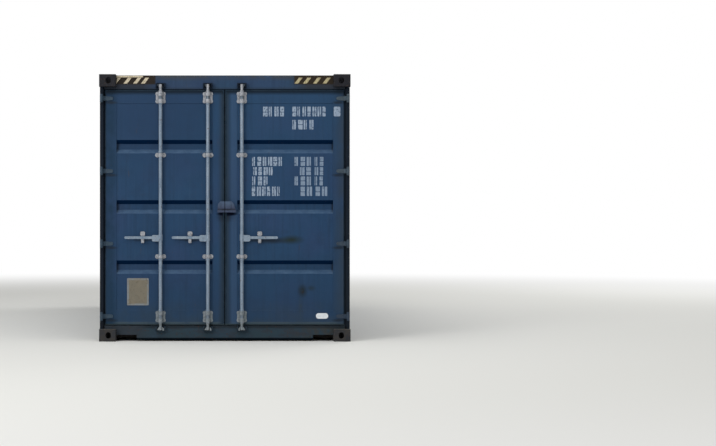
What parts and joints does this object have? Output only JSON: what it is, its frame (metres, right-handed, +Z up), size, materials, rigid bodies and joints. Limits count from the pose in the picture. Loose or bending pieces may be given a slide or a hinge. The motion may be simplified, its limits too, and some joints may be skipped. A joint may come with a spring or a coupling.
{
  "type": "freight container",
  "caption": "Box-shaped steel freight container with corrugated walls, cast corner fittings, fork pockets and two hinged end doors closed by turning lock rods.",
  "frame": {"origin": "on the ground plane, under the centre of the container's overall box", "axes": "+X across the container, to the right when the doors are looked at; +Y along it, from the door end to the blind end; +Z up"},
  "size_m": [2.438, 6.058, 2.591],
  "materials": {
    "blue_paint": "weathered satin paint",
    "weathered_dark_paint": "dull, dirty paint",
    "galvanised_steel": "dull zinc",
    "seal_rubber": "matte",
    "vent_plastic": "matte",
    "floor_plywood": "worn"
  },
  "bodies": {
    "shell": {"bottom_corner_castings": "weathered_dark_paint", "top_corner_castings": "weathered_dark_paint", "rear_corner_posts": "weathered_dark_paint", "front_corner_posts": "blue_paint", "post_hinge_lugs": "weathered_dark_paint", "rear_header": "blue_paint", "rear_sill": "weathered_dark_paint", "front_header": "blue_paint", "front_sill": "blue_paint", "top_side_rails": "blue_paint", "bottom_side_rails": "blue_paint", "left_side_wall": "blue_paint", "right_side_wall": "blue_paint", "front_end_wall": "blue_paint", "roof_sheet": "blue_paint", "floor_boards": "floor_plywood", "floor_cross_members": "weathered_dark_paint", "fork_pockets": "weathered_dark_paint", "cam_keepers": "blue_paint", "side_vents": "vent_plastic"},
    "left_door": {"left_door_stiles": "blue_paint", "left_door_rails": "blue_paint", "left_door_panel": "blue_paint", "left_door_seal": "seal_rubber", "left_door_hinge_blades": "blue_paint", "left_door_rod_brackets": "galvanised_steel", "left_door_handle_retainers": "galvanised_steel", "left_lock_box": "blue_paint"},
    "right_door": {"right_door_stiles": "blue_paint", "right_door_rails": "blue_paint", "right_door_panel": "blue_paint", "right_door_seal": "seal_rubber", "right_door_hinge_blades": "blue_paint", "right_door_rod_brackets": "galvanised_steel", "right_door_handle_retainer": "galvanised_steel", "right_lock_box": "blue_paint"},
    "outer_lock_rod": {"outer_rod": "galvanised_steel", "outer_rod_cams": "galvanised_steel"},
    "left_inner_lock_rod": {"left_inner_rod": "galvanised_steel", "left_inner_rod_cams": "galvanised_steel"},
    "right_inner_lock_rod": {"right_inner_rod": "galvanised_steel", "right_inner_rod_cams": "galvanised_steel"},
    "outer_lock_handle": {"outer_handle": "galvanised_steel"},
    "left_inner_lock_handle": {"left_inner_handle": "galvanised_steel"},
    "right_inner_lock_handle": {"right_inner_handle": "galvanised_steel"}
  },
  "joints": [
    {"name": "left_door_hinge", "type": "hinge", "parent": "shell", "child": "left_door", "pos_m": [-1.197, -3.007, 1.304], "axis": [0, 0, -1], "range_deg": [0, 265]},
    {"name": "right_door_hinge", "type": "hinge", "parent": "shell", "child": "right_door", "pos_m": [1.197, -3.007, 1.304], "axis": [0, 0, 1], "range_deg": [0, 265]},
    {"name": "outer_rod_turn", "type": "hinge", "parent": "left_door", "child": "outer_lock_rod", "pos_m": [-0.625, -2.995, 1.007], "axis": [0, 0, -1], "range_deg": [-110, 0]},
    {"name": "left_inner_rod_turn", "type": "hinge", "parent": "left_door", "child": "left_inner_lock_rod", "pos_m": [-0.165, -2.995, 1.007], "axis": [0, 0, -1], "range_deg": [-110, 0]},
    {"name": "right_inner_rod_turn", "type": "hinge", "parent": "right_door", "child": "right_inner_lock_rod", "pos_m": [0.165, -2.995, 1.007], "axis": [0, 0, 1], "range_deg": [-110, 0]},
    {"name": "outer_handle_lift", "type": "hinge", "parent": "outer_lock_rod", "child": "outer_lock_handle", "pos_m": [-0.675, -2.995, 1.007], "axis": [0, 1, 0], "range_deg": [0, 12]},
    {"name": "left_inner_handle_lift", "type": "hinge", "parent": "left_inner_lock_rod", "child": "left_inner_lock_handle", "pos_m": [-0.215, -2.995, 1.007], "axis": [0, 1, 0], "range_deg": [0, 12]},
    {"name": "right_inner_handle_lift", "type": "hinge", "parent": "right_inner_lock_rod", "child": "right_inner_lock_handle", "pos_m": [0.215, -2.995, 1.007], "axis": [0, -1, 0], "range_deg": [0, 12]}
  ]
}
